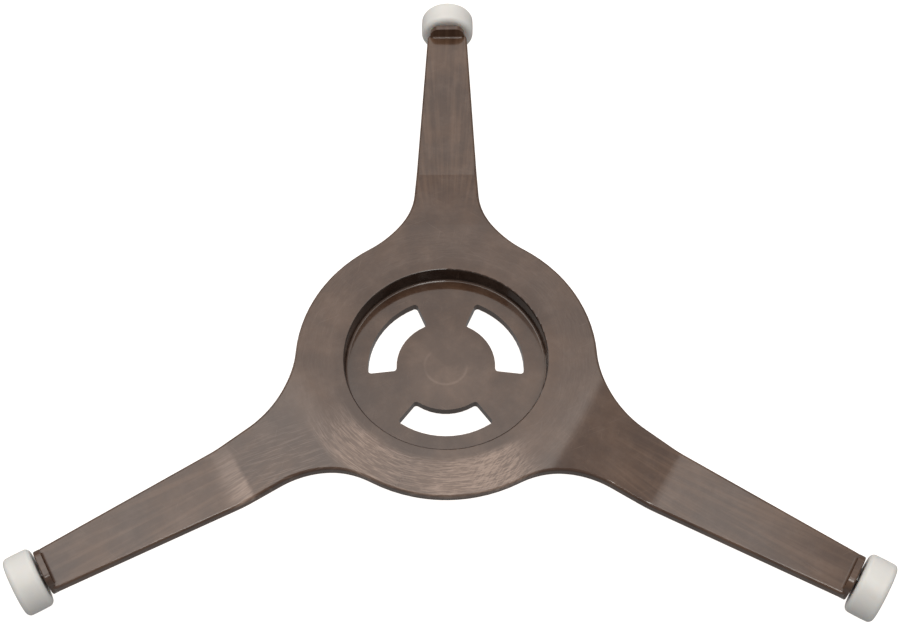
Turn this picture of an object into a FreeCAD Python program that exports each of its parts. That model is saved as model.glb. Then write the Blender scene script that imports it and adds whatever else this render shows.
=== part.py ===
import FreeCAD, Part
import math
import os

import Sketcher

# Roller support for the glass tray of a microwave oven.
#
# One moulded spider carries a free-running roller at the end of each of its three arms.
# The tray's centre ring drops into the round recess of the hub, and the tray lies on the
# hub's rim. The rollers run on the oven's floor, with their tops just below the tray.
#
# Frame: millimetres, +Z up, the origin at the centre of the recess floor.
# The rear arm lies along +Y, and the other two follow at 120 degrees.

document = FreeCAD.newDocument("roller_support")

# Sizes
# Each row is a name, a length in millimetres or an angle in degrees, and what it measures.

driving_sizes = [
    ("hub_radius", 40.0, "outside radius of the hub plate"),
    ("plate_thickness", 3.1, "thickness of the hub plate and of the arms"),
    ("recess_radius", 26.9, "inside radius of the tray recess"),
    ("recess_depth", 5.3, "from the rim of the hub down to the recess floor"),
    ("recess_corner", 0.7, "rounding between the recess wall and its floor"),
    ("rim_round", 0.4, "rounding of the recess mouth"),
    ("cup_wall", 2.4, "thickness of the wall around the recess"),
    ("cup_corner", 1.2, "rounding of the cup's lower edge"),
    ("cup_root", 1.0, "rounding between the cup and the underside of the hub plate"),
    ("floor_thickness", 2.6, "thickness of the recess floor"),
    ("slot_inner_radius", 13.2, "inner arc of a floor slot"),
    ("slot_outer_radius", 20.85, "outer arc of a floor slot"),
    ("slot_half_angle", 37.0, "half of the angle that a floor slot spans"),
    ("slot_corner", 0.9, "rounding of a slot's four corners"),
    ("arm_reach", 116.5, "from the hub's axis to the end face of an arm"),
    ("bend_half_width", 8.55, "half of an arm's width at its lower bend"),
    ("end_half_width", 5.92, "half of an arm's width at its end face"),
    ("flare_radius", 25.6, "concave radius between the hub and an arm"),
    ("end_corner", 2.2, "rounding of an arm's end corners, seen from above"),
    ("ramp_length", 31.5, "from the start of an arm's upper bend to the end of its lower bend"),
    ("arm_drop", 5.75, "how far the outer arm lies below the hub's rim"),
    ("upper_bend_radius", 34.0, "radius of the upper bend, on the top face"),
    ("lower_bend_radius", 17.0, "radius of the lower bend, on the top face"),
    ("edge_round", 0.7, "rounding of the plate's outer edges"),
    ("wall_thickness", 1.65, "thickness of the end wall"),
    ("wall_height", 3.5, "from the top of the arm up to the crest of its end wall"),
    ("wall_half_width", 5.1, "half of the end wall's width at its upper corners"),
    ("wall_corner", 2.7, "rounding of the end wall's upper corners"),
    ("wall_toe_radius", 5.6, "round lower end of the end wall, about the pin"),
    ("wall_round", 0.35, "rounding of the end wall's upper outer edge"),
    ("wall_root", 0.65, "rounding between the end wall and the top of its arm"),
    ("roller_radius", 7.9, "radius of a roller at the middle of its tread"),
    ("roller_width", 7.2, "length of a roller along its pin"),
    ("roller_corner", 1.35, "rounding of a roller's shoulders"),
    ("tread_crown", 0.1, "how far the middle of the tread stands above its ends"),
    ("tray_gap", 0.2, "from the top of a roller up to the tray"),
    ("pin_radius", 2.2, "radius of the pin that a roller turns on"),
    ("running_clearance", 0.06, "radial gap between a pin and its roller's bore"),
    ("end_play", 0.3, "gap at each end of a roller"),
    ("shoulder_radius", 3.4, "radius of the shoulder that a roller runs against"),
    ("shoulder_length", 0.3, "how far the shoulder stands out of the end wall"),
    ("barb_height", 0.55, "how far the snap barb stands above the pin"),
    ("barb_land", 0.4, "length of the barb's full diameter"),
    ("barb_nose", 1.2, "length of the barb's lead-in cone"),
    ("nose_radius", 1.9, "radius of the pin's tip"),
    ("split_width", 1.1, "width of the split that lets the barb close"),
    ("split_depth", 6.4, "length of the split, from the pin's tip"),
    ("head_pocket_radius", 4.2, "radius of the pocket around the barb"),
    ("head_pocket_depth", 2.2, "depth of the pocket around the barb"),
    ("boss_radius", 7.5, "outside radius of the drive boss"),
    ("boss_length", 6.6, "length of the drive boss below the floor"),
    ("boss_root", 0.8, "rounding between the drive boss and the floor"),
    ("boss_round", 0.5, "rounding of the drive boss's lower edge"),
    ("socket_radius", 3.6, "radius of the socket for the drive shaft"),
    ("socket_flat", 2.8, "from the socket's axis to its flat side"),
    ("socket_depth", 6.0, "depth of the socket for the drive shaft"),
]

# Each row is a name, a formula and what it measures.

worked_out_sizes = [
    ("ramp_start", "=0.87 * hub_radius", "from the hub's axis to the start of the upper bend"),
    ("ramp_end", "=ramp_start + ramp_length", "from the hub's axis to the end of the lower bend"),
    ("arm_top", "=recess_depth - arm_drop", "height of the outer arm's top face"),
    ("wall_top", "=arm_top + wall_height", "height of an end wall's crest"),
    ("axle_height", "=recess_depth - tray_gap - roller_radius", "height of the pins"),
    ("blank_half_width", "=0.9 * hub_radius", "half of the strip that an arm is cut from"),
    ("trim_half_width", "=0.95 * hub_radius", "half of the span that the trim cut covers"),
    ("root_half_width", "=wall_half_width - wall_root", "half of the length of that rounding"),
    ("shoulder_face", "=arm_reach + shoulder_length", "from the hub's axis to a shoulder"),
    ("roller_start", "=shoulder_face + end_play", "from the hub's axis to a roller"),
    ("bore_length", "=roller_width - head_pocket_depth", "length of a roller's bore"),
    ("barb_face", "=roller_start + bore_length + end_play", "from the hub's axis to a barb"),
    ("pin_tip", "=barb_face + barb_land + barb_nose", "from the hub's axis to a pin's tip"),
]

ARM_COUNT = 3
arm_angles = {"rear": 90.0, "left": 210.0, "right": 330.0}

sheet = document.addObject("Spreadsheet::Sheet", "Sizes")
for row, (name, value, note) in enumerate(driving_sizes + worked_out_sizes, start=1):
    sheet.set(f"A{row}", name)
    sheet.set(f"B{row}", str(value))
    sheet.set(f"C{row}", note)
    sheet.setAlias(f"B{row}", name)
document.recompute()


def size(name):
    """The value that the sheet holds under a name."""
    return float(sheet.get(name))


# Sketching

def vector(x, y, z=0.0):
    return FreeCAD.Vector(x, y, z)


def origin_feature(body, role):
    """One of a body's own origin planes or axes."""
    return next(item for item in body.Origin.OriginFeatures if item.Role == role)


def new_sketch(body, name, role, offset=None):
    """A sketch on one of the body's origin planes, shifted along the plane's normal."""
    sketch = body.newObject("Sketcher::SketchObject", name)
    sketch.AttachmentSupport = [(origin_feature(body, role), "")]
    sketch.MapMode = "FlatFace"
    if offset is not None:
        sketch.setExpression("AttachmentOffset.Base.z", offset)
    return sketch


def line(start, end, smooth=False):
    """A straight piece of a loop; smooth says that it meets the next piece tangentially."""
    return {"start": start, "end": end, "smooth": smooth}


def arc(centre, start, end, turn, smooth=False):
    """A round piece of a loop; turn is +1 anticlockwise and -1 clockwise."""
    return {"start": start, "end": end, "centre": centre, "turn": turn, "smooth": smooth}


def draw_loop(sketch, pieces):
    """Draws a closed loop and returns (geometry, start point, end point) for each piece."""
    drawn = []
    for piece in pieces:
        start, end = piece["start"], piece["end"]
        if "centre" not in piece:
            segment = Part.LineSegment(vector(*start), vector(*end))
            drawn.append((sketch.addGeometry(segment), 1, 2))
            continue
        x, y = piece["centre"]
        radius = math.hypot(start[0] - x, start[1] - y)
        first, last = (start, end) if piece["turn"] > 0 else (end, start)
        angles = [math.atan2(point[1] - y, point[0] - x) for point in (first, last)]
        circle = Part.Circle(vector(x, y), vector(0, 0, 1), radius)
        index = sketch.addGeometry(Part.ArcOfCircle(circle, *angles))
        drawn.append((index, 1, 2) if piece["turn"] > 0 else (index, 2, 1))
    for piece, here, after in zip(pieces, drawn, drawn[1:] + drawn[:1]):
        kind = "Tangent" if piece["smooth"] else "Coincident"
        sketch.addConstraint(Sketcher.Constraint(kind, here[0], here[2], after[0], after[1]))
    return drawn


def bind(sketch, name, formula, *constraint):
    """Adds a constraint whose value is a formula of the sheet's sizes."""
    index = sketch.addConstraint(Sketcher.Constraint(*constraint))
    sketch.renameConstraint(index, name)
    sketch.setExpression(f"Constraints.{name}", formula)


def lock(sketch, *constraint):
    """Adds a constraint that has no size."""
    sketch.addConstraint(Sketcher.Constraint(*constraint))


# How constraints name the sketch's own origin, its upright axis and the centre of an arc.
ORIGIN = (-1, 1)
UPRIGHT_AXIS_INDEX = -2
CENTRE_INDEX = 3


# Features

def pattern(body, name, features):
    """Repeats features about Z, once for each arm."""
    feature = body.newObject("PartDesign::PolarPattern", name)
    feature.Originals = features
    feature.Axis = (origin_feature(body, "Z_Axis"), [""])
    feature.Angle = 360
    feature.Occurrences = ARM_COUNT
    body.Tip = feature
    document.recompute()
    return feature


def fillet(body, name, radius, wanted):
    """Rounds the edges of the body's last shape that a test picks out."""
    base = body.Tip
    edges = [f"Edge{number}" for number, edge in enumerate(base.Shape.Edges, start=1)
             if wanted(edge)]
    if not edges:
        raise RuntimeError(f"{name}: no edge to round")
    feature = body.newObject("PartDesign::Fillet", name)
    feature.Base = (base, edges)
    feature.setExpression("Radius", radius)
    body.Tip = feature
    document.recompute()
    return feature


def ends(edge):
    return [vertex.Point for vertex in edge.Vertexes]


def near(first, second, slack=1e-4):
    return abs(first - second) < slack


def at_height(edge, height):
    """True for an edge that lies wholly at one height."""
    box = edge.BoundBox
    return near(box.ZMin, height) and near(box.ZMax, height)


def is_ring(edge, radius, height):
    """True for a circle or arc about Z of a given radius and height."""
    curve = edge.Curve
    return (isinstance(curve, Part.Circle) and near(curve.Radius, radius)
            and math.hypot(curve.Center.x, curve.Center.y) < 1e-4
            and at_height(edge, height))


def polar(point):
    return math.hypot(point.x, point.y)


def is_upright(edge, radius):
    """True for a straight edge along Z at a given distance from the hub's axis."""
    points = ends(edge)
    return (len(points) == 2 and near(points[0].x, points[1].x)
            and near(points[0].y, points[1].y) and near(polar(points[0]), radius))


# Spider

spider = document.addObject("PartDesign::Body", "spider")
spider.Label = "spider"


def draw_side_profile():
    """The side view of an arm's strip: level at the hub, down the ramp, level to the end."""
    sketch = new_sketch(spider, "arm_side_view", "YZ_Plane")
    top = size("recess_depth")
    thickness = size("plate_thickness")
    low = size("arm_top")
    reach = size("arm_reach")
    upper = (size("ramp_start"), top - size("upper_bend_radius"))
    lower = (size("ramp_end"), low + size("lower_bend_radius"))
    # The ramp is the common inner tangent of the two bends.
    run, rise = lower[0] - upper[0], lower[1] - upper[1]
    radii = size("upper_bend_radius") + size("lower_bend_radius")
    tilt = math.atan2(run, rise) - math.acos(min(1.0, radii / math.hypot(run, rise)))
    normal = (math.sin(tilt), math.cos(tilt))

    def on(centre, distance):
        return (centre[0] + distance * normal[0], centre[1] + distance * normal[1])

    outer_upper = size("upper_bend_radius")
    outer_lower = size("lower_bend_radius")
    top_face = [
        line((0.0, top), (upper[0], top), smooth=True),
        arc(upper, (upper[0], top), on(upper, outer_upper), -1, smooth=True),
        line(on(upper, outer_upper), on(lower, -outer_lower), smooth=True),
        arc(lower, on(lower, -outer_lower), (lower[0], low), +1, smooth=True),
        line((lower[0], low), (reach, low)),
    ]
    outer_lower += thickness
    outer_upper -= thickness
    under_face = [
        line((reach, low), (reach, low - thickness)),
        line((reach, low - thickness), (lower[0], low - thickness), smooth=True),
        arc(lower, (lower[0], low - thickness), on(lower, -outer_lower), -1, smooth=True),
        line(on(lower, -outer_lower), on(upper, outer_upper), smooth=True),
        arc(upper, on(upper, outer_upper), (upper[0], top - thickness), +1, smooth=True),
        line((upper[0], top - thickness), (0.0, top - thickness)),
        line((0.0, top - thickness), (0.0, top)),
    ]
    drawn = draw_loop(sketch, top_face + under_face)
    (hub_top, bend_a, _, bend_b, arm_top_line,
     end_face, arm_under, bend_c, _, bend_d, hub_under, inner_face) = [g for g, _, _ in drawn]
    for level in (hub_top, arm_top_line, arm_under, hub_under):
        lock(sketch, "Horizontal", level)
    for upright in (end_face, inner_face):
        lock(sketch, "Vertical", upright)
    lock(sketch, "Coincident", bend_a, CENTRE_INDEX, bend_d, CENTRE_INDEX)
    lock(sketch, "Coincident", bend_b, CENTRE_INDEX, bend_c, CENTRE_INDEX)
    lock(sketch, "PointOnObject", hub_top, 1, UPRIGHT_AXIS_INDEX)
    bind(sketch, "top", "Sizes.recess_depth", "DistanceY", *ORIGIN, hub_top, 1, top)
    bind(sketch, "hub_thickness", "Sizes.plate_thickness",
         "DistanceY", inner_face, 1, inner_face, 2, thickness)
    bind(sketch, "end_thickness", "Sizes.plate_thickness",
         "DistanceY", end_face, 2, end_face, 1, thickness)
    bind(sketch, "ramp_start", "Sizes.ramp_start", "DistanceX", *ORIGIN, bend_a, CENTRE_INDEX, upper[0])
    bind(sketch, "ramp_end", "Sizes.ramp_end", "DistanceX", *ORIGIN, bend_b, CENTRE_INDEX, lower[0])
    bind(sketch, "upper_bend", "Sizes.upper_bend_radius", "Radius", bend_a, size("upper_bend_radius"))
    bind(sketch, "lower_bend", "Sizes.lower_bend_radius", "Radius", bend_b, size("lower_bend_radius"))
    bind(sketch, "drop", "Sizes.arm_drop", "DistanceY", end_face, 1, hub_top, 1, top - low)
    bind(sketch, "reach", "Sizes.arm_reach", "DistanceX", *ORIGIN, end_face, 1, reach)
    return sketch


def draw_trim(side):
    """The waste beside an arm: hub circle, concave flare, tapering edge and straight sides."""
    sketch = new_sketch(spider, "arm_trim_" + ("right" if side > 0 else "left"), "XY_Plane")
    hub = size("hub_radius")
    flare = size("flare_radius")
    far = size("trim_half_width")
    reach = size("arm_reach")
    over = 1.0
    taper = (size("bend_half_width") - size("end_half_width")) / (reach - size("ramp_end"))
    lean = math.atan(taper)
    normal = (math.cos(lean), math.sin(lean))
    edge_distance = normal[0] * size("end_half_width") + normal[1] * reach
    along = math.sqrt((hub + flare) ** 2 - (edge_distance + flare) ** 2)
    centre = ((edge_distance + flare) * normal[0] - along * normal[1],
              (edge_distance + flare) * normal[1] + along * normal[0])
    share = hub / (hub + flare)
    on_hub = (centre[0] * share, centre[1] * share)
    on_edge = (centre[0] - flare * normal[0], centre[1] - flare * normal[1])
    tip = (size("end_half_width") - taper * over, reach + over)
    start = (far, math.sqrt(hub ** 2 - far ** 2))

    def flip(point):
        return (side * point[0], point[1])

    drawn = draw_loop(sketch, [
        arc((0.0, 0.0), flip(start), flip(on_hub), side, smooth=True),
        arc(flip(centre), flip(on_hub), flip(on_edge), -side, smooth=True),
        line(flip(on_edge), flip(tip)),
        line(flip(tip), flip((far, tip[1]))),
        line(flip((far, tip[1])), flip(start)),
    ])
    hub_arc, flare_arc, edge, top, outer = [g for g, _, _ in drawn]
    lock(sketch, "Coincident", hub_arc, CENTRE_INDEX, *ORIGIN)
    lock(sketch, "Horizontal", top)
    lock(sketch, "Vertical", outer)
    bind(sketch, "hub", "Sizes.hub_radius", "Radius", hub_arc, hub)
    bind(sketch, "flare", "Sizes.flare_radius", "Radius", flare_arc, flare)
    slope = "(Sizes.bend_half_width - Sizes.end_half_width) / (Sizes.arm_reach - Sizes.ramp_end)"
    sign = "" if side > 0 else "-1 * "
    bind(sketch, "far", f"{sign}Sizes.trim_half_width",
         "DistanceX", *ORIGIN, outer, 1, side * far)
    bind(sketch, "tip_width", f"{sign}(Sizes.end_half_width - {slope})",
         "DistanceX", *ORIGIN, top, 1, side * tip[0])
    bind(sketch, "tip_reach", "Sizes.arm_reach + 1", "DistanceY", *ORIGIN, top, 1, tip[1])
    turn = math.pi / 2 + side * lean
    quarter = "90 + " if side > 0 else "90 - "
    bind(sketch, "taper", f"{quarter}atan({slope}) / 1 deg", "Angle", edge, turn)
    return sketch


def draw_end_wall():
    """The end wall seen along the arm: a round toe about the pin and a broad rounded top."""
    sketch = new_sketch(spider, "end_wall_view", "XZ_Plane",
                        "Sizes.wall_thickness - Sizes.arm_reach")
    toe = size("wall_toe_radius")
    corner = size("wall_corner")
    height = size("axle_height")
    top = size("wall_top")
    x = size("wall_half_width") - corner
    z = top - corner
    # The side is the common outer tangent of the toe and the upper corner.
    span = math.hypot(x, z - height)
    tilt = math.atan2(z - height, x) - math.acos((toe - corner) / span)
    normal = (math.cos(tilt), math.sin(tilt))
    low = (toe * normal[0], height + toe * normal[1])
    high = (x + corner * normal[0], z + corner * normal[1])

    def flip(point):
        return (-point[0], point[1])

    drawn = draw_loop(sketch, [
        arc((0.0, height), flip(low), low, +1, smooth=True),
        line(low, high, smooth=True),
        arc((x, z), high, (x, top), +1, smooth=True),
        line((x, top), (-x, top), smooth=True),
        arc((-x, z), (-x, top), flip(high), +1, smooth=True),
        line(flip(high), flip(low), smooth=True),
    ])
    toe_arc, _, right, crest, left, _ = [g for g, _, _ in drawn]
    lock(sketch, "PointOnObject", toe_arc, CENTRE_INDEX, UPRIGHT_AXIS_INDEX)
    lock(sketch, "Equal", right, left)
    lock(sketch, "Symmetric", right, CENTRE_INDEX, left, CENTRE_INDEX, UPRIGHT_AXIS_INDEX)
    bind(sketch, "axle", "Sizes.axle_height", "DistanceY", *ORIGIN, toe_arc, CENTRE_INDEX, height)
    bind(sketch, "toe", "Sizes.wall_toe_radius", "Radius", toe_arc, toe)
    bind(sketch, "corner", "Sizes.wall_corner", "Radius", right, corner)
    bind(sketch, "corner_place", "Sizes.wall_half_width - Sizes.wall_corner",
         "DistanceX", *ORIGIN, right, CENTRE_INDEX, x)
    bind(sketch, "crest", "Sizes.wall_top", "DistanceY", *ORIGIN, crest, 1, top)
    return sketch


def draw_wall_root():
    """The concave rounding between the arm's top and its end wall, seen from the side."""
    sketch = new_sketch(spider, "end_wall_root_view", "YZ_Plane")
    root = size("wall_root")
    top = size("arm_top")
    inner = size("arm_reach") - size("wall_thickness")
    middle = size("arm_reach") - size("wall_thickness") / 2
    foot = top - size("plate_thickness") / 2
    drawn = draw_loop(sketch, [
        arc((inner - root, top + root), (inner - root, top), (inner, top + root), +1),
        line((inner, top + root), (middle, top + root)),
        line((middle, top + root), (middle, foot)),
        line((middle, foot), (inner - root, foot)),
        line((inner - root, foot), (inner - root, top)),
    ])
    hollow, crest, back, bottom, front = [g for g, _, _ in drawn]
    for level in (crest, bottom):
        lock(sketch, "Horizontal", level)
    for upright in (back, front):
        lock(sketch, "Vertical", upright)
    lock(sketch, "Vertical", hollow, CENTRE_INDEX, hollow, 1)
    lock(sketch, "Horizontal", hollow, CENTRE_INDEX, hollow, 2)
    bind(sketch, "root", "Sizes.wall_root", "Radius", hollow, root)
    bind(sketch, "top", "Sizes.arm_top", "DistanceY", *ORIGIN, hollow, 1, top)
    bind(sketch, "start", "Sizes.arm_reach - Sizes.wall_thickness - Sizes.wall_root",
         "DistanceX", *ORIGIN, hollow, 1, inner - root)
    bind(sketch, "middle", "Sizes.arm_reach - Sizes.wall_thickness / 2",
         "DistanceX", *ORIGIN, back, 1, middle)
    bind(sketch, "foot", "Sizes.plate_thickness / 2", "DistanceY", front, 1, front, 2, top - foot)
    return sketch


def draw_pin():
    """Half of the pin's long section: shoulder, journal, snap barb and lead-in nose."""
    sketch = new_sketch(spider, "pin_section", "YZ_Plane")
    axle = size("axle_height")
    root = size("arm_reach") - size("wall_thickness") / 2
    journal = size("pin_radius")
    barb = journal + size("barb_height")
    stations = [
        (root, 0.0),
        (root, size("shoulder_radius")),
        (size("shoulder_face"), size("shoulder_radius")),
        (size("shoulder_face"), journal),
        (size("barb_face"), journal),
        (size("barb_face"), barb),
        (size("barb_face") + size("barb_land"), barb),
        (size("pin_tip"), size("nose_radius")),
        (size("pin_tip"), 0.0),
    ]
    points = [(y, axle + radius) for y, radius in stations]
    drawn = draw_loop(sketch, [line(a, b) for a, b in zip(points, points[1:] + points[:1])])
    root_face, shoulder, shoulder_end, pin, barb_step, land, nose, tip, axis = [
        g for g, _, _ in drawn]
    for level in (shoulder, pin, land, axis):
        lock(sketch, "Horizontal", level)
    for upright in (root_face, shoulder_end, barb_step, tip):
        lock(sketch, "Vertical", upright)
    bind(sketch, "axle", "Sizes.axle_height", "DistanceY", *ORIGIN, axis, 1, axle)
    bind(sketch, "root", "Sizes.arm_reach - Sizes.wall_thickness / 2",
         "DistanceX", *ORIGIN, root_face, 1, root)
    bind(sketch, "shoulder_end", "Sizes.shoulder_face",
         "DistanceX", *ORIGIN, shoulder_end, 1, size("shoulder_face"))
    bind(sketch, "barb_face", "Sizes.barb_face",
         "DistanceX", *ORIGIN, barb_step, 1, size("barb_face"))
    bind(sketch, "barb_land", "Sizes.barb_land",
         "DistanceX", land, 1, land, 2, size("barb_land"))
    bind(sketch, "pin_tip", "Sizes.pin_tip", "DistanceX", *ORIGIN, tip, 1, size("pin_tip"))
    bind(sketch, "shoulder_radius", "Sizes.shoulder_radius",
         "DistanceY", axis, 2, shoulder, 1, size("shoulder_radius"))
    bind(sketch, "pin_radius", "Sizes.pin_radius", "DistanceY", axis, 2, pin, 1, journal)
    bind(sketch, "barb_radius", "Sizes.pin_radius + Sizes.barb_height",
         "DistanceY", axis, 2, land, 1, barb)
    bind(sketch, "nose_radius", "Sizes.nose_radius",
         "DistanceY", axis, 2, tip, 1, size("nose_radius"))
    return sketch


def draw_split():
    """The split through the pin's tip, seen from the side."""
    sketch = new_sketch(spider, "pin_split_view", "YZ_Plane")
    over = 1.0
    axle = size("axle_height")
    half = size("shoulder_radius")
    inner = size("pin_tip") - size("split_depth")
    outer = size("pin_tip") + over
    corners = [(inner, axle - half), (outer, axle - half), (outer, axle + half),
               (inner, axle + half)]
    drawn = draw_loop(sketch, [line(a, b) for a, b in zip(corners, corners[1:] + corners[:1])])
    bottom, outside, crest, inside = [g for g, _, _ in drawn]
    for level in (bottom, crest):
        lock(sketch, "Horizontal", level)
    for upright in (outside, inside):
        lock(sketch, "Vertical", upright)
    bind(sketch, "inner", "Sizes.pin_tip - Sizes.split_depth",
         "DistanceX", *ORIGIN, inside, 1, inner)
    bind(sketch, "length", "Sizes.split_depth + 1", "DistanceX", bottom, 1, bottom, 2, outer - inner)
    bind(sketch, "low", "Sizes.axle_height - Sizes.shoulder_radius",
         "DistanceY", *ORIGIN, bottom, 1, axle - half)
    bind(sketch, "height", "2 * Sizes.shoulder_radius", "DistanceY", outside, 1, outside, 2, 2 * half)
    return sketch


def draw_slot():
    """A floor slot between two arms: two arcs about the hub's axis and two radial ends."""
    sketch = new_sketch(spider, "floor_slot_view", "XY_Plane")
    inner = size("slot_inner_radius")
    outer = size("slot_outer_radius")
    first = math.radians(30.0 - size("slot_half_angle"))
    last = math.radians(30.0 + size("slot_half_angle"))

    def at(radius, angle):
        return (radius * math.cos(angle), radius * math.sin(angle))

    middle = (0.0, 0.0)
    drawn = draw_loop(sketch, [
        arc(middle, at(outer, first), at(outer, last), +1),
        line(at(outer, last), at(inner, last)),
        arc(middle, at(inner, last), at(inner, first), -1),
        line(at(inner, first), at(outer, first)),
    ])
    outer_arc, last_end, inner_arc, first_end = [g for g, _, _ in drawn]
    lock(sketch, "Coincident", outer_arc, CENTRE_INDEX, *ORIGIN)
    lock(sketch, "Coincident", inner_arc, CENTRE_INDEX, *ORIGIN)
    lock(sketch, "PointOnObject", *ORIGIN, last_end)
    lock(sketch, "PointOnObject", *ORIGIN, first_end)
    bind(sketch, "outer", "Sizes.slot_outer_radius", "Radius", outer_arc, outer)
    bind(sketch, "inner", "Sizes.slot_inner_radius", "Radius", inner_arc, inner)
    bind(sketch, "first", "30 - Sizes.slot_half_angle", "Angle", first_end, first)
    bind(sketch, "last", "210 + Sizes.slot_half_angle", "Angle", last_end, last + math.pi)
    return sketch


def draw_disc(name, radius, height):
    """A circle about the hub's axis, in a plane at a height that the sheet gives."""
    sketch = new_sketch(spider, name, "XY_Plane", height)
    circle = Part.Circle(vector(0, 0), vector(0, 0, 1), size(radius))
    index = sketch.addGeometry(circle)
    lock(sketch, "Coincident", index, CENTRE_INDEX, *ORIGIN)
    bind(sketch, "radius", f"Sizes.{radius}", "Radius", index, size(radius))
    return sketch


def draw_socket():
    """The mouth of the drive socket: a circle with one flat side."""
    sketch = new_sketch(spider, "socket_view", "XY_Plane",
                        "-1 * (Sizes.floor_thickness + Sizes.boss_length)")
    radius = size("socket_radius")
    flat = size("socket_flat")
    half = math.sqrt(radius ** 2 - flat ** 2)
    drawn = draw_loop(sketch, [
        arc((0.0, 0.0), (half, -flat), (-half, -flat), +1),
        line((-half, -flat), (half, -flat)),
    ])
    wall, chord = [g for g, _, _ in drawn]
    lock(sketch, "Coincident", wall, CENTRE_INDEX, *ORIGIN)
    lock(sketch, "Horizontal", chord)
    bind(sketch, "radius", "Sizes.socket_radius", "Radius", wall, radius)
    bind(sketch, "flat", "Sizes.socket_flat", "DistanceY", chord, 1, *ORIGIN, flat)
    return sketch


def draw_cup():
    """Half of the cup's section below the hub plate."""
    sketch = new_sketch(spider, "cup_section", "XZ_Plane")
    radius = size("recess_radius") + size("cup_wall")
    low = -size("floor_thickness")
    high = size("recess_depth") - size("plate_thickness") / 2
    corners = [(0.0, low), (radius, low), (radius, high), (0.0, high)]
    drawn = draw_loop(sketch, [line(a, b) for a, b in zip(corners, corners[1:] + corners[:1])])
    bottom, outside, crest, axis = [g for g, _, _ in drawn]
    for level in (bottom, crest):
        lock(sketch, "Horizontal", level)
    for upright in (outside, axis):
        lock(sketch, "Vertical", upright)
    lock(sketch, "PointOnObject", axis, 1, UPRIGHT_AXIS_INDEX)
    bind(sketch, "radius", "Sizes.recess_radius + Sizes.cup_wall",
         "DistanceX", *ORIGIN, outside, 1, radius)
    bind(sketch, "low", "Sizes.floor_thickness", "DistanceY", bottom, 1, *ORIGIN, -low)
    bind(sketch, "high", "Sizes.recess_depth - Sizes.plate_thickness / 2",
         "DistanceY", *ORIGIN, crest, 1, high)
    return sketch


def pad(name, sketch, length, midplane=False, reverse=False):
    feature = spider.newObject("PartDesign::Pad", name)
    feature.Profile = sketch
    feature.setExpression("Length", length)
    feature.Midplane = midplane
    feature.Reversed = reverse
    spider.Tip = feature
    document.recompute()
    return feature


def pocket(name, sketch, length=None, midplane=False, reverse=False):
    feature = spider.newObject("PartDesign::Pocket", name)
    feature.Profile = sketch
    if length is None:
        feature.Type = "ThroughAll"
    else:
        feature.setExpression("Length", length)
    feature.Midplane = midplane
    feature.Reversed = reverse
    spider.Tip = feature
    document.recompute()
    return feature


def revolve(body, name, sketch, axis):
    feature = body.newObject("PartDesign::Revolution", name)
    feature.Profile = sketch
    feature.ReferenceAxis = axis
    feature.Angle = 360
    body.Tip = feature
    document.recompute()
    return feature


# The plate is three cranked strips that overlap at the hub, trimmed to the outline.
strip = pad("arm_strip", draw_side_profile(), "2 * Sizes.blank_half_width", midplane=True)
trims = [pocket(f"arm_trim_{name}_cut", draw_trim(side), midplane=True)
         for name, side in (("right", +1), ("left", -1))]
pattern(spider, "three_arms", [strip] + trims)


def is_outline(edge):
    """True for the sharp edges where the plate's faces meet its sides."""
    middle = edge.valueAt((edge.FirstParameter + edge.LastParameter) / 2)
    faces = spider.Tip.Shape.ancestorsOfType(edge, Part.Face)
    normals = [face.normalAt(*face.Surface.parameter(middle)) for face in faces]
    return len(normals) == 2 and abs(normals[0].dot(normals[1])) < 0.5


corner_reach = math.hypot(size("arm_reach"), size("end_half_width"))
fillet(spider, "arm_end_corners", "Sizes.end_corner",
       lambda edge: is_upright(edge, corner_reach))
fillet(spider, "plate_edges", "Sizes.edge_round", is_outline)

# The cup hangs below the hub plate, and the recess is cut down into it.
cup_sketch = draw_cup()
revolve(spider, "cup", cup_sketch, (cup_sketch, ["Edge4"]))
cup_radius = size("recess_radius") + size("cup_wall")
floor_under = -size("floor_thickness")
plate_under = size("recess_depth") - size("plate_thickness")
fillet(spider, "cup_lower_edge", "Sizes.cup_corner",
       lambda edge: is_ring(edge, cup_radius, floor_under))
fillet(spider, "cup_upper_root", "Sizes.cup_root",
       lambda edge: is_ring(edge, cup_radius, plate_under))
pocket("recess", draw_disc("recess_outline", "recess_radius", "Sizes.recess_depth"),
       "Sizes.recess_depth")
fillet(spider, "recess_floor_corner", "Sizes.recess_corner",
       lambda edge: is_ring(edge, size("recess_radius"), 0.0))
fillet(spider, "recess_rim", "Sizes.rim_round",
       lambda edge: is_ring(edge, size("recess_radius"), size("recess_depth")))

# Three arc slots go through the recess floor between the arms.
slot = pocket("floor_slot", draw_slot(), midplane=True)
pattern(spider, "three_slots", [slot])
fillet(spider, "slot_corners", "Sizes.slot_corner",
       lambda edge: (is_upright(edge, size("slot_inner_radius"))
                     or is_upright(edge, size("slot_outer_radius"))))

# The drive boss stands under the floor and holds the flat-sided socket of the drive shaft.
pad("drive_boss", draw_disc("boss_outline", "boss_radius", "-1 * Sizes.floor_thickness"),
    "Sizes.boss_length", reverse=True)
boss_under = -size("floor_thickness") - size("boss_length")
fillet(spider, "boss_root", "Sizes.boss_root",
       lambda edge: is_ring(edge, size("boss_radius"), floor_under))
fillet(spider, "boss_lower_edge", "Sizes.boss_round",
       lambda edge: is_ring(edge, size("boss_radius"), boss_under))
pocket("drive_socket", draw_socket(), "Sizes.socket_depth", reverse=True)

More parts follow.
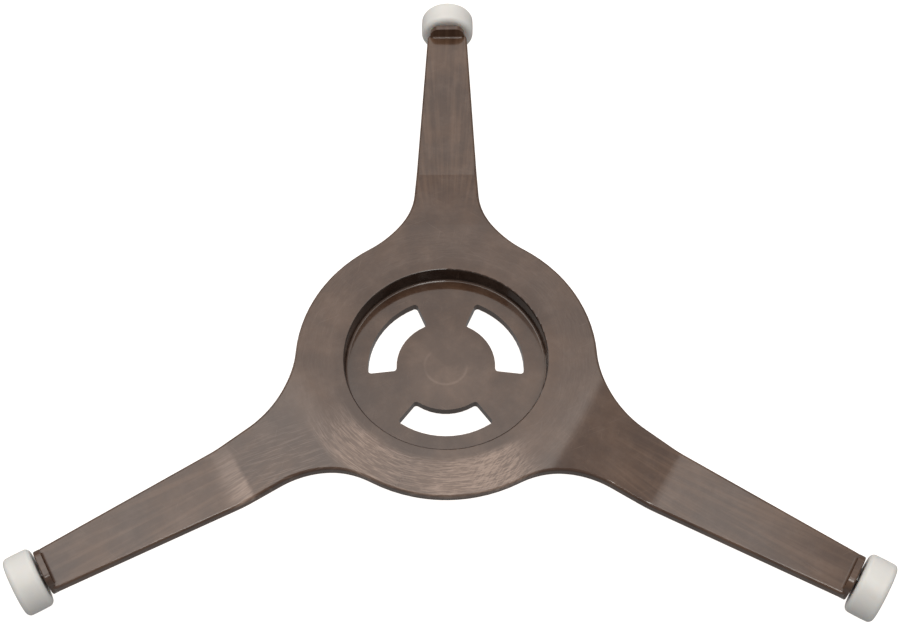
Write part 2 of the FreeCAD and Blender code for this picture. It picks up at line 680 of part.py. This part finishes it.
# Each arm ends in a wall that carries the pin with its split snap barb.
wall = pad("end_wall", draw_end_wall(), "Sizes.wall_thickness", reverse=True)
root = pad("end_wall_root", draw_wall_root(), "2 * Sizes.root_half_width", midplane=True)
pin_sketch = draw_pin()
pin = revolve(spider, "pin", pin_sketch, (pin_sketch, ["Edge9"]))
split = pocket("pin_split", draw_split(), "Sizes.split_width", midplane=True)
pattern(spider, "three_pins", [wall, root, pin, split])


def is_wall_crest(edge):
    """True for the edges of an end wall's outer face that lie wholly above its arm."""
    reaches = [max(point.dot(arm) for arm in arm_directions) for point in ends(edge)]
    return (edge.BoundBox.ZMin > size("arm_top") + 1e-4
            and all(near(reach, size("arm_reach")) for reach in reaches))


arm_directions = [vector(math.cos(math.radians(angle)), math.sin(math.radians(angle)))
                  for angle in arm_angles.values()]
fillet(spider, "end_wall_edges", "Sizes.wall_round", is_wall_crest)


# Rollers

def draw_roller(body):
    """Half of a roller's section, with its own X along the pin and away from the hub."""
    sketch = new_sketch(body, "roller_section", "XZ_Plane")
    width = size("roller_width")
    bore = size("pin_radius") + size("running_clearance")
    pocket_radius = size("head_pocket_radius")
    pocket_floor = size("bore_length")
    crown = size("tread_crown")
    rim = size("roller_radius") - crown
    tread = ((width / 2) ** 2 + crown ** 2) / (2 * crown)
    drawn = draw_loop(sketch, [
        line((0.0, bore), (0.0, rim)),
        arc((width / 2, size("roller_radius") - tread), (0.0, rim), (width, rim), -1),
        line((width, rim), (width, pocket_radius)),
        line((width, pocket_radius), (pocket_floor, pocket_radius)),
        line((pocket_floor, pocket_radius), (pocket_floor, bore)),
        line((pocket_floor, bore), (0.0, bore)),
    ])
    inner, tread_arc, outer, pocket_wall, pocket_face, bore_line = [g for g, _, _ in drawn]
    for level in (pocket_wall, bore_line):
        lock(sketch, "Horizontal", level)
    for upright in (inner, outer, pocket_face):
        lock(sketch, "Vertical", upright)
    lock(sketch, "PointOnObject", inner, 1, UPRIGHT_AXIS_INDEX)
    bind(sketch, "bore", "Sizes.pin_radius + Sizes.running_clearance",
         "DistanceY", *ORIGIN, inner, 1, bore)
    bind(sketch, "rim", "Sizes.roller_radius - Sizes.tread_crown",
         "DistanceY", *ORIGIN, inner, 2, rim)
    bind(sketch, "far_rim", "Sizes.roller_radius - Sizes.tread_crown",
         "DistanceY", *ORIGIN, outer, 1, rim)
    bind(sketch, "width", "Sizes.roller_width", "DistanceX", *ORIGIN, outer, 1, width)
    bind(sketch, "bore_length", "Sizes.bore_length",
         "DistanceX", *ORIGIN, pocket_face, 1, pocket_floor)
    bind(sketch, "pocket", "Sizes.head_pocket_radius",
         "DistanceY", *ORIGIN, pocket_wall, 1, pocket_radius)
    bind(sketch, "tread",
         "((Sizes.roller_width / 2)^2 + Sizes.tread_crown^2) / (2 * Sizes.tread_crown)",
         "Radius", tread_arc, tread)
    return sketch


def make_roller(side, angle):
    """One roller on its pin, turned to the direction of its arm."""
    body = document.addObject("PartDesign::Body", f"roller_{side}")
    body.Label = f"roller_{side}"
    revolve(body, "tyre", draw_roller(body), (origin_feature(body, "X_Axis"), [""]))
    rim = size("roller_radius") - size("tread_crown")
    fillet(body, "shoulders", "Sizes.roller_corner",
           lambda edge: isinstance(edge.Curve, Part.Circle) and near(edge.Curve.Radius, rim))
    body.Placement.Rotation = FreeCAD.Rotation(vector(0, 0, 1), angle)
    body.setExpression("Placement.Base.x", f"Sizes.roller_start * cos({angle} deg)")
    body.setExpression("Placement.Base.y", f"Sizes.roller_start * sin({angle} deg)")
    body.setExpression("Placement.Base.z", "Sizes.axle_height")
    return body


rollers = [make_roller(side, angle) for side, angle in arm_angles.items()]
document.recompute()

# Each sub-part is checked before any file is written.
sub_parts = [spider] + rollers
for item in document.Objects:
    if "Invalid" in item.State or "Error" in item.State:
        raise RuntimeError(f"{item.Label} failed: {item.State}")
for item in sub_parts:
    if item.Shape.isNull() or not item.Shape.isValid() or len(item.Shape.Solids) != 1:
        raise RuntimeError(f"{item.Label} is not one valid solid")

os.makedirs("parts", exist_ok=True)
for item in sub_parts:
    item.Shape.exportStep(f"parts/{item.Label}.step")
    box = item.Shape.BoundBox
    print(f"{item.Label}: {item.Shape.Volume:.0f} mm3, Z {box.ZMin:.2f} to {box.ZMax:.2f}")
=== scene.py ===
import math

import bpy
import numpy as np
from mathutils import Matrix, Vector


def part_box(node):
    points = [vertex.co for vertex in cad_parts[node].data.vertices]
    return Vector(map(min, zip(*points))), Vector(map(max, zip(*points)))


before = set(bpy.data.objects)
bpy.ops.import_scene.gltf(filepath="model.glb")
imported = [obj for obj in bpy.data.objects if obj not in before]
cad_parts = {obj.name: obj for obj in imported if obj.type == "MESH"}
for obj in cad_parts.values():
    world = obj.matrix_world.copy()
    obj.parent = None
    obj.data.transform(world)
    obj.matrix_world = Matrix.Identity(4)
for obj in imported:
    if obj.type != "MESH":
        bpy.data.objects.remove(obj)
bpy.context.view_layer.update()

MM = 0.001

# The spider is one injection moulding in a glass-filled thermoplastic polyester, smoke brown
# right through. The tool's polished faces leave it semi-gloss, and years of turning trays
# have drawn fine rings into the top of its hub. The three roller pins are part of it.

HUB_TOP = 5.3 * MM
HUB_RADIUS = 40.0 * MM
RECESS_RADIUS = 26.9 * MM
SMOKE_BROWN = "#5A4130"
SMOKE_BROWN_DARK = "#463125"
# The lightest brown is worn plastic, and also paints highlights on the front of the hub and in the left
# bend.
RUBBED_AND_LIT_BROWN = "#9C8577"
# The near-black paints shade on the recess wall.
PAINTED_SHADE_BROWN = "#241710"
RING_PITCH = 0.5 * MM
FINE_RING_PITCH = 0.28 * MM
STREAK_PITCH = 1.5 * MM
# Heading of the hub's front, where the ring marks are lightest, partly as a painted highlight.
MOST_RUBBED_AND_LIT = math.radians(258)
HATCHED_SPOT = (14 * MM, -32.5 * MM, HUB_TOP)
HATCH_TURN = math.radians(52)
SCRATCHED_RAMP = (-41 * MM, -31 * MM, 2 * MM)
RAMP_STROKE_TURN = math.radians(14)
# The left arm's bend carries a painted highlight: a light band across it.
BEND_HIGHLIGHT_ARM = math.radians(210)
BEND_HIGHLIGHT_FROM = 60.5 * MM
BEND_HIGHLIGHT_TO = 70 * MM
FLOOR_MARK_RADIUS = 5.7 * MM
RING_SWAY = 1.6 * MM
WISPS_TO_A_TURN = 64 * MM / (0.9 * MM)
STREAKS_TO_A_TURN = 90 * MM / STREAK_PITCH
POLYESTER_IOR = 1.6


def linear(code):
    """The linear colour, with alpha 1, of an sRGB hex value."""
    channels = [int(code[i:i + 2], 16) / 255 for i in (1, 3, 5)]
    return [c / 12.92 if c <= 0.04045 else ((c + 0.055) / 1.055) ** 2.4 for c in channels] + [1.0]


def add(tree, kind, links=None, values=None, **settings):
    """One shader node, with settings as attributes, values in sockets, and links into sockets."""
    node = tree.nodes.new(kind)
    for key, value in settings.items():
        setattr(node, key, value)
    for socket, value in (values or {}).items():
        node.inputs[socket].default_value = value
    for socket, source in (links or {}).items():
        tree.links.new(source, node.inputs[socket])
    return node


def new_material(name):
    """An empty node material, with its tree and its output node."""
    material = bpy.data.materials.new(name)
    material.use_nodes = True
    material.node_tree.nodes.clear()
    return material, material.node_tree, material.node_tree.nodes.new("ShaderNodeOutputMaterial")


def product(tree, *factors):
    """The product of two or more values."""
    result = factors[0]
    for factor in factors[1:]:
        result = add(tree, "ShaderNodeMath", {0: result, 1: factor}, operation="MULTIPLY").outputs[0]
    return result


def smooth_steps(tree, *steps):
    """The product of smooth steps, each with its source, its start and end, and its values there."""
    factors = []
    for source, start, end, *values in steps:
        at_start, at_end = values or (0.0, 1.0)
        step = add(tree, "ShaderNodeMapRange", {"Value": source},
                   {1: start, 2: end, 3: at_start, 4: at_end}, interpolation_type="SMOOTHSTEP")
        factors.append(step.outputs[0])
    return product(tree, *factors)


def total(tree, *parts):
    """The sum of values, each times its own weight."""
    result = None
    for value, weight in parts:
        links = {0: value} if result is None else {0: value, 2: result}
        result = add(tree, "ShaderNodeMath", links, {1: weight} if result else {1: weight, 2: 0.0},
                     operation="MULTIPLY_ADD").outputs[0]
    return result


def polar_noise(tree, heading, reach, around, outward, detail):
    """Noise drawn out on polar lines: cells of `outward` metres outwards, `around` to a turn."""
    spread = add(tree, "ShaderNodeVectorMath", {0: heading}, {"Scale": around},
                 operation="SCALE")
    turn = add(tree, "ShaderNodeSeparateXYZ", {0: spread.outputs[0]})
    steps = add(tree, "ShaderNodeMath", {0: reach}, {1: 1 / outward}, operation="MULTIPLY")
    place = add(tree, "ShaderNodeCombineXYZ",
                {0: turn.outputs[0], 1: turn.outputs[1], 2: steps.outputs[0]})
    return add(tree, "ShaderNodeTexNoise", {"Vector": place.outputs[0]},
               {"Scale": 1.0, "Detail": detail, "Roughness": 0.6}).outputs["Fac"]


def spot(tree, place, centre, radius):
    """One at a point, falling smoothly to nothing at a radius from it."""
    away = add(tree, "ShaderNodeVectorMath", {0: place}, {1: centre}, operation="DISTANCE")
    return smooth_steps(tree, (away.outputs["Value"], 0.3 * radius, radius, 1.0, 0.0))


def strokes(tree, place, turn, length, width, rarity):
    """Straight strokes at an angle: noise stretched to length by width, and cut at a level."""
    frame_of = add(tree, "ShaderNodeMapping", {"Vector": place},
                   {"Rotation": (0.0, 0.0, turn), "Scale": (length, width, length)},
                   vector_type="TEXTURE")
    cells = add(tree, "ShaderNodeTexNoise", {"Vector": frame_of.outputs[0]},
                {"Scale": 1.0, "Detail": 1.0})
    return smooth_steps(tree, (cells.outputs["Fac"], rarity, rarity + 0.12))


def smoke_brown_polyester():
    """Moulded glass-filled polyester: smoke brown with a soft sheen, worn where the tray rubs, with
    painted highlights on the front of the hub and in the left bend, and painted shade on the recess
    wall.
    """
    material, tree, out = new_material("smoke_brown_polyester")
    place = add(tree, "ShaderNodeTexCoord").outputs["Object"]
    axes = add(tree, "ShaderNodeSeparateXYZ", {0: place})
    height = axes.outputs[2]

    # Distance from the hub's axis, and the direction as a unit vector.
    flat = add(tree, "ShaderNodeCombineXYZ", {0: axes.outputs[0], 1: axes.outputs[1]})
    reach = add(tree, "ShaderNodeVectorMath", {0: flat.outputs[0]}, operation="LENGTH").outputs["Value"]
    heading = add(tree, "ShaderNodeVectorMath", {0: flat.outputs[0]}, operation="NORMALIZE").outputs[0]
    sides = add(tree, "ShaderNodeSeparateXYZ", {0: heading})

    # Ring scratches from the tray, on the flat top of the hub and most of all on its front, where their
    # lightening is partly real and partly a painted highlight of the rings catching the light.
    sway = add(tree, "ShaderNodeTexNoise", {"Vector": place}, {"Scale": 60.0, "Detail": 2.0})
    wavy_reach = add(tree, "ShaderNodeMath", {0: sway.outputs["Fac"], 2: reach}, {1: RING_SWAY},
                     operation="MULTIPLY_ADD").outputs[0]
    rings = polar_noise(tree, heading, wavy_reach, 5.0, RING_PITCH, 3.0)
    fine_rings = polar_noise(tree, heading, wavy_reach, 11.0, FINE_RING_PITCH, 2.0)
    marks = total(tree, (smooth_steps(tree, (rings, 0.48, 0.6)), 0.45),
                  (smooth_steps(tree, (fine_rings, 0.5, 0.6)), 0.55))
    on_top = smooth_steps(tree, (reach, RECESS_RADIUS + 2 * MM, RECESS_RADIUS + 4.5 * MM),
                          (reach, HUB_RADIUS - 0.5 * MM, HUB_RADIUS + 2 * MM, 1.0, 0.0),
                          (height, HUB_TOP - 2 * MM, HUB_TOP - 1 * MM))
    facing = add(tree, "ShaderNodeVectorMath", {0: heading},
                 {1: (math.cos(MOST_RUBBED_AND_LIT), math.sin(MOST_RUBBED_AND_LIT), 0.0)},
                 operation="DOT_PRODUCT").outputs["Value"]
    patches = add(tree, "ShaderNodeTexNoise", {"Vector": place}, {"Scale": 45.0, "Detail": 2.0})
    # Lightest at the front: partly worn, partly a painted highlight.
    rubbed_and_lit = product(tree, on_top, smooth_steps(tree, (facing, 0.58, 0.82, 0.1, 1.0),
                                                (patches.outputs["Fac"], 0.3, 0.6, 0.6, 1.0)))
    scratched_and_lit = product(tree, rubbed_and_lit, marks)

    # Cross strokes beside the recess, scratches on the near half of the left ramp, and a painted
    # highlight in the bend below it: a light band with wisps, where the bend would shine.
    hatched = product(tree, strokes(tree, place, HATCH_TURN, 2.4 * MM, 0.42 * MM, 0.44),
                      spot(tree, place, HATCHED_SPOT, 11 * MM), on_top)
    ramp_scratched = product(tree, strokes(tree, place, RAMP_STROKE_TURN, 6 * MM, 0.3 * MM, 0.53),
                             spot(tree, place, SCRATCHED_RAMP, 17 * MM),
                             smooth_steps(tree, (reach, HUB_RADIUS - 2 * MM, HUB_RADIUS + 2 * MM)))
    out_along = (math.cos(BEND_HIGHLIGHT_ARM), math.sin(BEND_HIGHLIGHT_ARM), 0.0)
    across = (-math.sin(BEND_HIGHLIGHT_ARM), math.cos(BEND_HIGHLIGHT_ARM), 0.0)
    along = add(tree, "ShaderNodeVectorMath", {0: place}, {1: out_along},
                operation="DOT_PRODUCT").outputs["Value"]
    sideways = add(tree, "ShaderNodeVectorMath", {0: place}, {1: across},
                   operation="DOT_PRODUCT").outputs["Value"]
    wisps = polar_noise(tree, heading, reach, WISPS_TO_A_TURN, 9 * MM, 2.0)
    # Painted highlight: a light streaky band across the left arm's bend.
    bend_highlight = smooth_steps(tree, (along, BEND_HIGHLIGHT_FROM, BEND_HIGHLIGHT_FROM + 1.5 * MM),
                           (along, BEND_HIGHLIGHT_FROM + 2 * MM, BEND_HIGHLIGHT_TO, 1.0, 0.0),
                           (sideways, -9 * MM, 8 * MM, 0.25, 1.0),
                           (wisps, 0.35, 0.65, 0.35, 1.0),
                           (height, -1.5 * MM, -1 * MM))

    # Hairline scratches from handling: a few straight strokes in three directions.
    hairs = total(tree, (strokes(tree, place, math.radians(25), 9 * MM, 0.3 * MM, 0.69), 0.33),
                  (strokes(tree, place, math.radians(80), 7 * MM, 0.3 * MM, 0.7), 0.33),
                  (strokes(tree, place, math.radians(140), 11 * MM, 0.32 * MM, 0.7), 0.33))

    # The middle of the recess floor is a little lighter, and above the drive boss it has a round
    # sink mark. Neither shows on the underside.
    above_floor = (height, -1 * MM, -0.5 * MM)
    floor_centre = smooth_steps(tree, (reach, 6 * MM, 15 * MM, 1.0, 0.0), above_floor)
    floor_mark = smooth_steps(tree, (reach, FLOOR_MARK_RADIUS - 0.7 * MM, FLOOR_MARK_RADIUS),
                              (reach, FLOOR_MARK_RADIUS, FLOOR_MARK_RADIUS + 0.5 * MM, 1.0, 0.0),
                              (sway.outputs["Fac"], 0.4, 0.6), above_floor)

    # Colour: slow flow clouds and faint streaks along the arms, painted shade that darkens the recess
    # wall, and lighter where it is worn; on the front of the hub this is partly, in the left bend
    # wholly, a painted highlight.
    clouds = add(tree, "ShaderNodeTexNoise", {"Vector": place},
                 {"Scale": 60.0, "Detail": 5.0, "Roughness": 0.65}).outputs["Fac"]
    flow = polar_noise(tree, heading, reach, STREAKS_TO_A_TURN, 32 * MM, 3.0)
    streaks = smooth_steps(tree, (flow, 0.4, 0.7), (reach, 44 * MM, 60 * MM))
    mottle = add(tree, "ShaderNodeMath", {0: streaks, 2: clouds}, {1: 0.2},
                 operation="MULTIPLY_ADD").outputs[0]
    body = add(tree, "ShaderNodeMix", {"Factor": smooth_steps(tree, (mottle, 0.35, 0.8))},
               data_type="RGBA")
    body.inputs["A"].default_value = linear(SMOKE_BROWN_DARK)
    body.inputs["B"].default_value = linear(SMOKE_BROWN)
    # Painted shade: the recess wall is darkened to near-black.
    recess_wall_shade = smooth_steps(
        tree, (reach, RECESS_RADIUS - 0.4 * MM, RECESS_RADIUS - 0.1 * MM),
        (reach, RECESS_RADIUS + 0.1 * MM, RECESS_RADIUS + 0.4 * MM, 1.0, 0.0),
        (height, 0.1 * MM, 0.5 * MM))
    shaded = add(tree, "ShaderNodeMix", {"Factor": recess_wall_shade, "A": body.outputs["Result"]},
                 data_type="RGBA")
    shaded.inputs["B"].default_value = linear(PAINTED_SHADE_BROWN)
    mist = add(tree, "ShaderNodeTexNoise", {"Vector": place},
               {"Scale": 130.0, "Detail": 6.0, "Roughness": 0.7})
    haze = smooth_steps(tree, (mist.outputs["Fac"], 0.4, 0.75))
    # Worn marks and the painted highlights all lighten the colour here.
    wear_and_highlights = total(tree, (rubbed_and_lit, 0.34), (scratched_and_lit, 0.75), (hatched, 0.35), (bend_highlight, 0.9),
                 (ramp_scratched, 0.22), (floor_mark, 0.2), (floor_centre, 0.1), (streaks, 0.06),
                 (haze, 0.12), (hairs, 0.35))
    colour = add(tree, "ShaderNodeMix", {"Factor": wear_and_highlights, "A": shaded.outputs["Result"]},
                 data_type="RGBA")
    colour.inputs["B"].default_value = linear(RUBBED_AND_LIT_BROWN)

    # Sheen: smoothest on the recess floor, rougher where it is rubbed, with the clouds faintly in it.
    rough_base = smooth_steps(tree, (reach, RECESS_RADIUS, RECESS_RADIUS + 4 * MM, 0.07, 0.13))
    rough = total(tree, (rubbed_and_lit, 0.2), (mottle, 0.06), (rough_base, 1.0))

    # Relief: the scratches, and the tool's own fine grain.
    grain = add(tree, "ShaderNodeTexNoise", {"Vector": place}, {"Scale": 2600.0, "Detail": 2.0})
    cut = product(tree, rings, rubbed_and_lit)
    grain_bump = add(tree, "ShaderNodeBump", {"Height": grain.outputs["Fac"]},
                     {"Strength": 0.05, "Distance": 0.02 * MM})
    cut_bump = add(tree, "ShaderNodeBump", {"Height": cut, "Normal": grain_bump.outputs[0]},
                   {"Strength": 0.35, "Distance": 0.06 * MM})
    shader = add(tree, "ShaderNodeBsdfPrincipled",
                 {"Base Color": colour.outputs["Result"], "Roughness": rough,
                  "Normal": cut_bump.outputs[0]},
                 {"IOR": POLYESTER_IOR})
    tree.links.new(shader.outputs[0], out.inputs["Surface"])
    return material


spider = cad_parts["spider"]
spider.data.materials.clear()
spider.data.materials.append(smoke_brown_polyester())

# Each roller is turned or moulded in natural acetal, which is a waxy white that lets a
# little light in. It is pushed over the split pin until the barb snaps open in its pocket.

WARM_WHITE = "#E4E2DF"
WARM_WHITE_SHADE = "#DCDAD6"


def white_acetal():
    """Natural acetal: warm white, satin, with light scattered a little under its surface."""
    material, tree, out = new_material("white_acetal")
    place = add(tree, "ShaderNodeTexCoord").outputs["Object"]
    clouds = add(tree, "ShaderNodeTexNoise", {"Vector": place}, {"Scale": 160.0, "Detail": 3.0})
    colour = add(tree, "ShaderNodeMix", {"Factor": clouds.outputs["Fac"]}, data_type="RGBA")
    colour.inputs["A"].default_value = linear(WARM_WHITE_SHADE)
    colour.inputs["B"].default_value = linear(WARM_WHITE)
    grain = add(tree, "ShaderNodeTexNoise", {"Vector": place}, {"Scale": 1800.0, "Detail": 2.0})
    relief = add(tree, "ShaderNodeBump", {"Height": grain.outputs["Fac"]},
                 {"Strength": 0.06, "Distance": 0.02 * MM})
    shader = add(tree, "ShaderNodeBsdfPrincipled",
                 {"Base Color": colour.outputs["Result"], "Normal": relief.outputs[0]},
                 {"Roughness": 0.42, "IOR": 1.48, "Subsurface Weight": 0.5,
                  "Subsurface Scale": 4 * MM, "Subsurface Radius": (1.0, 0.8, 0.65)})
    tree.links.new(shader.outputs[0], out.inputs["Surface"])
    return material


acetal = white_acetal()
for name in ("roller_rear", "roller_left", "roller_right"):
    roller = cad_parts[name]
    roller.data.materials.clear()
    roller.data.materials.append(acetal)

# The part stands on its rollers on a plain white sheet of matt acrylic, lit from below. A
# white tent over it fills the background and takes no part in the light.

FLOOR = min(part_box(name)[0][2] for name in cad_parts)
SHEET_HALF = 3.0
OPAL = "#7C7C7C"
LAMP_WHITE = "#FFFAF6"
GLOW = 1.1


def white_sheet():
    """Matt white acrylic over a light box, which keeps shadows faint."""
    material, tree, out = new_material("white_sheet")
    place = add(tree, "ShaderNodeTexCoord").outputs["Object"]
    fibres = add(tree, "ShaderNodeTexNoise", {"Vector": place}, {"Scale": 900.0})
    relief = add(tree, "ShaderNodeBump", {"Height": fibres.outputs["Fac"]},
                 {"Strength": 0.02, "Distance": 0.02 * MM})
    shader = add(tree, "ShaderNodeBsdfPrincipled", {"Normal": relief.outputs[0]},
                 {"Base Color": linear(OPAL), "Roughness": 0.9,
                  "Emission Color": linear(LAMP_WHITE), "Emission Strength": GLOW})
    tree.links.new(shader.outputs[0], out.inputs["Surface"])
    return material


def stand(name, points, faces, material):
    """One object of the stage, which the camera sees but the part's sheen and colour do not."""
    mesh = bpy.data.meshes.new(name)
    mesh.from_pydata(points.tolist(), [], faces.tolist())
    mesh.materials.append(material)
    piece = bpy.data.objects.new(name, mesh)
    bpy.context.scene.collection.objects.link(piece)
    piece.visible_diffuse = False
    piece.visible_glossy = False
    return piece


def half_sphere(radius, rings, around):
    """A half sphere over the floor: each ring is a circle at an equal step of rise, and rings join."""
    rise, turn = np.meshgrid(np.linspace(0, 0.999 * np.pi / 2, rings),
                             np.linspace(0, 2 * np.pi, around, endpoint=False), indexing="ij")
    points = np.stack([radius * np.cos(rise) * np.cos(turn), radius * np.cos(rise) * np.sin(turn),
                       FLOOR + radius * np.sin(rise)], axis=-1).reshape(-1, 3)
    ring, step = np.meshgrid(np.arange(rings - 1), np.arange(around), indexing="ij")
    beside = (step + 1) % around
    faces = np.stack([ring * around + step, ring * around + beside,
                      (ring + 1) * around + beside, (ring + 1) * around + step], axis=-1)
    return points, faces.reshape(-1, 4)


opal = white_sheet()
corners = np.array([(-1, -1, 0), (1, -1, 0), (1, 1, 0), (-1, 1, 0)]) * SHEET_HALF + (0, 0, FLOOR)
stand("sheet", corners, np.array([(0, 1, 2, 3)]), opal)
tent = stand("tent", *half_sphere(0.95 * SHEET_HALF, 17, 48), opal)
tent.visible_shadow = False

# Soft studio light: a dim surround, five panels overhead and a low one on the left. The front
# panel shines in the hub and the left arm, the weaker ones in the rest of the part, and the edge
# panel in its rounded near edges.

SURROUND = 0.32
SOFT_WHITE = "#FFFCF7"
world = bpy.data.worlds.new("surround")
world.use_nodes = True
world.node_tree.nodes["Background"].inputs["Color"].default_value = linear("#FFFFFF")
world.node_tree.nodes["Background"].inputs["Strength"].default_value = SURROUND
bpy.context.scene.world = world
bpy.context.scene.view_settings.view_transform = "Standard"


def panel(name, place, target, width, height, radiance):
    """A soft light panel at a place, turned to face a target; power = radiance x pi x area."""
    light = bpy.data.lights.new(name, "AREA")
    light.shape = "RECTANGLE"
    light.size = width
    light.size_y = height
    light.energy = radiance * math.pi * width * height
    light.color = linear(SOFT_WHITE)[:3]
    lamp = bpy.data.objects.new(name, light)
    lamp.location = place
    lamp.rotation_euler = (Vector(target) - Vector(place)).to_track_quat("-Z", "Y").to_euler()
    bpy.context.scene.collection.objects.link(lamp)


panel("front_panel", (-0.24, 0.145, 1.0), (-0.24, 0.145, 0), 1.14, 0.57, 2.1)
panel("middle_panel", (-0.24, 0.48, 1.0), (-0.24, 0.48, 0), 1.14, 0.1, 1.4)
panel("edge_panel", (0.13, -0.3, 1.0), (0.13, -0.3, 0), 0.26, 0.4, 7.0)
panel("right_panel", (0.83, 0.6, 1.0), (0.83, 0.6, 0), 1.0, 1.5, 0.5)
panel("rear_panel", (-0.24, 1.18, 1.0), (-0.24, 1.18, 0), 1.14, 1.3, 1.0)
panel("left_panel", (-1.3, 0.8, 0.35), (0, 0, 0), 0.5, 0.4, 2.5)

# The camera stands in front of the part, about 39 cm away, and looks steeply down. Its place and
# lens were fitted to the outline of the part in the photograph.

CAMERA_PLACE = (2.929 * MM, -184.136 * MM, 342.89 * MM)
CAMERA_RIGHT = Vector((0.9993, 0.0188, -0.0324)).normalized()
CAMERA_FORWARD = Vector((-0.0374, 0.5048, -0.8624)).normalized()
FOCAL_LENGTH = 58.13
SENSOR_WIDTH = 36.0
SIDE_SHIFT = 0.0529
RISE_SHIFT = 0.0006

camera_data = bpy.data.cameras.new("camera")
camera_data.lens = FOCAL_LENGTH
camera_data.sensor_width = SENSOR_WIDTH
camera_data.sensor_fit = "HORIZONTAL"
camera_data.shift_x = SIDE_SHIFT
camera_data.shift_y = RISE_SHIFT
camera_data.clip_start = 0.01
camera = bpy.data.objects.new("camera", camera_data)
camera_up = CAMERA_RIGHT.cross(CAMERA_FORWARD).normalized()
camera_right = CAMERA_FORWARD.cross(camera_up).normalized()
turn = Matrix((camera_right, camera_up, -CAMERA_FORWARD)).transposed().to_4x4()
camera.matrix_world = Matrix.Translation(CAMERA_PLACE) @ turn
bpy.context.scene.collection.objects.link(camera)
bpy.context.scene.camera = camera
